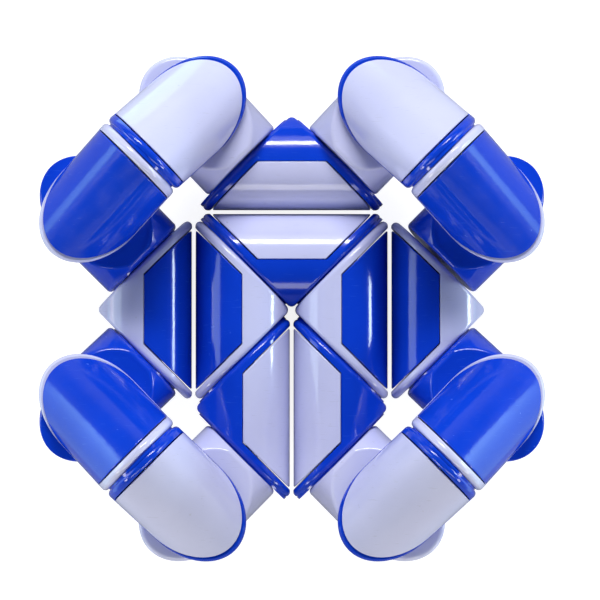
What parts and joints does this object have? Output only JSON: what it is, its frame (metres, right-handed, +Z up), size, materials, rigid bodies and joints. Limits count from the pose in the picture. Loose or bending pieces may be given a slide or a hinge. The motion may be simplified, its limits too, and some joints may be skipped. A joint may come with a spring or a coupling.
{
  "type": "twisty snake puzzle",
  "caption": "Chain of two-coloured cylindrical wedges on spring-loaded pivots, folded into a closed ring with a stack at each corner.",
  "frame": {"origin": "below the point where the four middle cells meet, on the surface that the folded puzzle stands on", "axes": "+Z up, away from the surface; +X and +Y level, each at 45 degrees to the folded shape's rows of cells"},
  "size_m": [0.0862, 0.0862, 0.0446],
  "materials": {
    "blue_plastic": "moulded gloss",
    "white_plastic": "moulded gloss",
    "steel": "zinc plated"
  },
  "bodies": {
    "wedge_01": {"wedge_01_shell": "white_plastic", "wedge_01_cap": "blue_plastic", "wedge_01_pivot_hardware": "steel"},
    "wedge_02": {"wedge_02_shell": "blue_plastic", "wedge_02_cap": "white_plastic"},
    "wedge_03": {"wedge_03_shell": "white_plastic", "wedge_03_cap": "blue_plastic", "wedge_03_pivot_hardware": "steel"},
    "wedge_04": {"wedge_04_shell": "blue_plastic", "wedge_04_cap": "white_plastic"},
    "wedge_05": {"wedge_05_shell": "white_plastic", "wedge_05_cap": "blue_plastic", "wedge_05_pivot_hardware": "steel"},
    "wedge_06": {"wedge_06_shell": "blue_plastic", "wedge_06_cap": "white_plastic"},
    "wedge_07": {"wedge_07_shell": "white_plastic", "wedge_07_cap": "blue_plastic", "wedge_07_pivot_hardware": "steel"},
    "wedge_08": {"wedge_08_shell": "blue_plastic", "wedge_08_cap": "white_plastic"},
    "wedge_09": {"wedge_09_shell": "white_plastic", "wedge_09_cap": "blue_plastic", "wedge_09_pivot_hardware": "steel"},
    "wedge_10": {"wedge_10_shell": "blue_plastic", "wedge_10_cap": "white_plastic"},
    "wedge_11": {"wedge_11_shell": "white_plastic", "wedge_11_cap": "blue_plastic", "wedge_11_pivot_hardware": "steel"},
    "wedge_12": {"wedge_12_shell": "blue_plastic", "wedge_12_cap": "white_plastic"},
    "wedge_13": {"wedge_13_shell": "white_plastic", "wedge_13_cap": "blue_plastic", "wedge_13_pivot_hardware": "steel"},
    "wedge_14": {"wedge_14_shell": "blue_plastic", "wedge_14_cap": "white_plastic"},
    "wedge_15": {"wedge_15_shell": "white_plastic", "wedge_15_cap": "blue_plastic", "wedge_15_pivot_hardware": "steel"},
    "wedge_16": {"wedge_16_shell": "blue_plastic", "wedge_16_cap": "white_plastic"},
    "wedge_17": {"wedge_17_shell": "white_plastic", "wedge_17_cap": "blue_plastic", "wedge_17_pivot_hardware": "steel"},
    "wedge_18": {"wedge_18_shell": "blue_plastic", "wedge_18_cap": "white_plastic"},
    "wedge_19": {"wedge_19_shell": "white_plastic", "wedge_19_cap": "blue_plastic", "wedge_19_pivot_hardware": "steel"},
    "wedge_20": {"wedge_20_shell": "blue_plastic", "wedge_20_cap": "white_plastic"},
    "wedge_21": {"wedge_21_shell": "white_plastic", "wedge_21_cap": "blue_plastic", "wedge_21_pivot_hardware": "steel"},
    "wedge_22": {"wedge_22_shell": "blue_plastic", "wedge_22_cap": "white_plastic"},
    "wedge_23": {"wedge_23_shell": "white_plastic", "wedge_23_cap": "blue_plastic", "wedge_23_pivot_hardware": "steel"},
    "wedge_24": {"wedge_24_shell": "blue_plastic", "wedge_24_cap": "white_plastic"}
  },
  "joints": [
    {"name": "pivot_01_02", "type": "hinge", "parent": "wedge_02", "child": "wedge_01", "pos_m": [0.02546, -0.00848, 0.01031], "axis": [-0.7071, 0.7071, 0], "range_deg": [-3, 3]},
    {"name": "pivot_02_03", "type": "hinge", "parent": "wedge_03", "child": "wedge_02", "pos_m": [0.03394, -0.01697, 0.02232], "axis": [0, 0, -1], "range_deg": [-0.5, 0.5]},
    {"name": "pivot_03_04", "type": "hinge", "parent": "wedge_04", "child": "wedge_03", "pos_m": [0.02546, -0.02546, 0.03431], "axis": [0.7071, 0.7071, 0], "range_deg": [-270, 1]},
    {"name": "pivot_04_05", "type": "hinge", "parent": "wedge_05", "child": "wedge_04", "pos_m": [0.01697, -0.03394, 0.02232], "axis": [0, 0, 1], "range_deg": [-0.4, 0.4]},
    {"name": "pivot_05_06", "type": "hinge", "parent": "wedge_06", "child": "wedge_05", "pos_m": [0.00848, -0.02546, 0.01031], "axis": [0.7071, -0.7071, 0], "range_deg": [-3, 3]},
    {"name": "pivot_06_07", "type": "hinge", "parent": "wedge_07", "child": "wedge_06", "pos_m": [0.00848, -0.00848, 0.01031], "axis": [0.7071, 0.7071, 0], "range_deg": [-38, 38]},
    {"name": "pivot_07_08", "type": "hinge", "parent": "wedge_08", "child": "wedge_07", "pos_m": [0.00848, 0.00848, 0.01031], "axis": [0.7071, -0.7071, 0], "range_deg": [-3, 3]},
    {"name": "pivot_08_09", "type": "hinge", "parent": "wedge_09", "child": "wedge_08", "pos_m": [-0.00848, 0.00848, 0.01031], "axis": [0.7071, 0.7071, 0], "range_deg": [-38, 38]},
    {"name": "pivot_09_10", "type": "hinge", "parent": "wedge_10", "child": "wedge_09", "pos_m": [-0.00848, -0.00848, 0.01031], "axis": [-0.7071, 0.7071, 0], "range_deg": [-3, 3]},
    {"name": "pivot_10_11", "type": "hinge", "parent": "wedge_10", "child": "wedge_11", "pos_m": [-0.00848, -0.02546, 0.01031], "axis": [-0.7071, -0.7071, 0], "range_deg": [-105, 160]},
    {"name": "pivot_11_12", "type": "hinge", "parent": "wedge_11", "child": "wedge_12", "pos_m": [-0.01697, -0.03394, 0.02232], "axis": [0, 0, 1], "range_deg": [-0.4, 0.5]},
    {"name": "pivot_12_13", "type": "hinge", "parent": "wedge_12", "child": "wedge_13", "pos_m": [-0.02546, -0.02546, 0.03431], "axis": [-0.7071, 0.7071, 0], "range_deg": [-0.5, 0.5]},
    {"name": "pivot_13_14", "type": "hinge", "parent": "wedge_13", "child": "wedge_14", "pos_m": [-0.03394, -0.01697, 0.02232], "axis": [0, 0, -1], "range_deg": [-180, 0.4]},
    {"name": "pivot_14_15", "type": "hinge", "parent": "wedge_14", "child": "wedge_15", "pos_m": [-0.02546, -0.00848, 0.01031], "axis": [-0.7071, -0.7071, 0], "range_deg": [-38, 38]},
    {"name": "pivot_15_16", "type": "hinge", "parent": "wedge_15", "child": "wedge_16", "pos_m": [-0.02546, 0.00848, 0.01031], "axis": [-0.7071, 0.7071, 0], "range_deg": [-3, 3]},
    {"name": "pivot_16_17", "type": "hinge", "parent": "wedge_16", "child": "wedge_17", "pos_m": [-0.03394, 0.01697, 0.02232], "axis": [0, 0, 1], "range_deg": [-0.4, 180]},
    {"name": "pivot_17_18", "type": "hinge", "parent": "wedge_17", "child": "wedge_18", "pos_m": [-0.02546, 0.02546, 0.03431], "axis": [0.7071, 0.7071, 0], "range_deg": [-1, 270]},
    {"name": "pivot_18_19", "type": "hinge", "parent": "wedge_18", "child": "wedge_19", "pos_m": [-0.01697, 0.03394, 0.02232], "axis": [0, 0, -1], "range_deg": [-180, 0.4]},
    {"name": "pivot_19_20", "type": "hinge", "parent": "wedge_19", "child": "wedge_20", "pos_m": [-0.00848, 0.02546, 0.01031], "axis": [0.7071, -0.7071, 0], "range_deg": [-3, 3]},
    {"name": "pivot_20_21", "type": "hinge", "parent": "wedge_20", "child": "wedge_21", "pos_m": [0.00848, 0.02546, 0.01031], "axis": [0.7071, 0.7071, 0], "continuous": true},
    {"name": "pivot_21_22", "type": "hinge", "parent": "wedge_21", "child": "wedge_22", "pos_m": [0.01697, 0.03394, 0.02232], "axis": [0, 0, 1], "range_deg": [-0.5, 180]},
    {"name": "pivot_22_23", "type": "hinge", "parent": "wedge_22", "child": "wedge_23", "pos_m": [0.02546, 0.02546, 0.03431], "axis": [0.7071, -0.7071, 0], "range_deg": [-0.5, 270]},
    {"name": "pivot_23_24", "type": "hinge", "parent": "wedge_23", "child": "wedge_24", "pos_m": [0.03394, 0.01697, 0.02232], "axis": [0, 0, -1], "range_deg": [-3, 3]}
  ]
}
